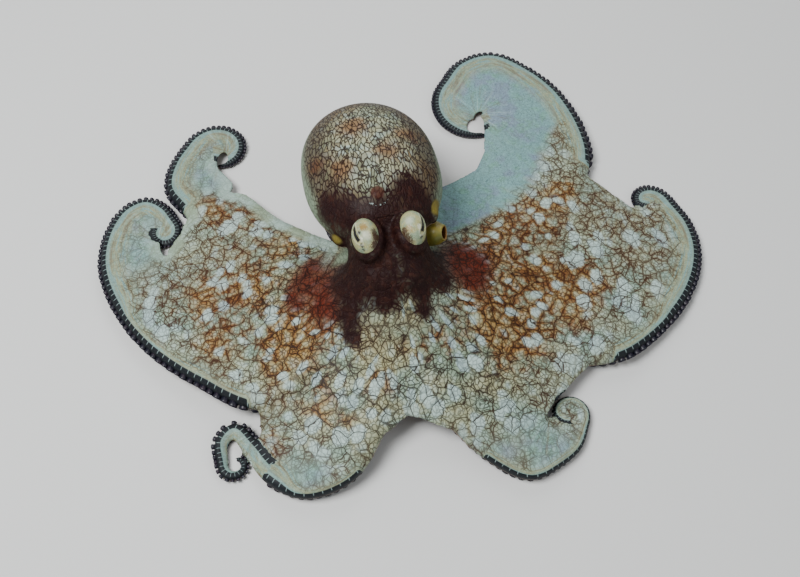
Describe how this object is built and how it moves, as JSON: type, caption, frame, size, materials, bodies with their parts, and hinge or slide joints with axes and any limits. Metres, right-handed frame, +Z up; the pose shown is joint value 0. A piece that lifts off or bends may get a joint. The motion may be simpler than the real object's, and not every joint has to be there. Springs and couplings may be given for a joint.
{
  "type": "octopus",
  "caption": "Octopus resting with its webbed arms spread and their tips curled, its bag-like mantle behind a raised head with turret eyes.",
  "frame": {"origin": "middle of the floor under the whole animal, at the height it rests on", "axes": "+Z up, -Y the way the animal faces, +X to its left, along its longest spread"},
  "size_m": [0.3773, 0.315, 0.0875],
  "materials": {
    "skin": "satin",
    "web": "satin",
    "funnel": "satin",
    "eye": "gloss"
  },
  "bodies": {
    "root": {"head": "skin", "mantle": "skin", "eye_right": "eye", "eye_left": "eye", "funnel": "funnel", "mantle_lip_right": "funnel", "mantle_lip_left": "funnel", "arm_right_1_base": "skin", "arm_right_1_middle": "skin", "arm_right_1_blade": "skin", "arm_right_1_tip": "skin", "arm_right_2_base": "skin", "arm_right_2_middle": "skin", "arm_right_2_blade": "skin", "arm_right_2_tip": "skin", "arm_right_3_base": "skin", "arm_right_3_middle": "skin", "arm_right_3_blade": "skin", "arm_right_3_tip": "skin", "arm_right_4_base": "skin", "arm_right_4_middle": "skin", "arm_right_4_blade": "skin", "arm_right_4_tip": "skin", "arm_left_1_base": "skin", "arm_left_1_middle": "skin", "arm_left_1_blade": "skin", "arm_left_1_tip": "skin", "arm_left_2_base": "skin", "arm_left_2_middle": "skin", "arm_left_2_blade": "skin", "arm_left_2_tip": "skin", "arm_left_3_base": "skin", "arm_left_3_middle": "skin", "arm_left_3_blade": "skin", "arm_left_3_tip": "skin", "arm_left_4_base": "skin", "arm_left_4_middle": "skin", "arm_left_4_blade": "skin", "arm_left_4_tip": "skin", "web_right_1_left_1": "web", "web_right_1_right_2": "web", "web_right_2_right_3": "web", "web_right_3_right_4": "web", "web_right_4_left_4": "web", "web_left_3_left_4": "web", "web_left_2_left_3": "web", "web_left_1_left_2": "web"}
  },
  "joints": []
}
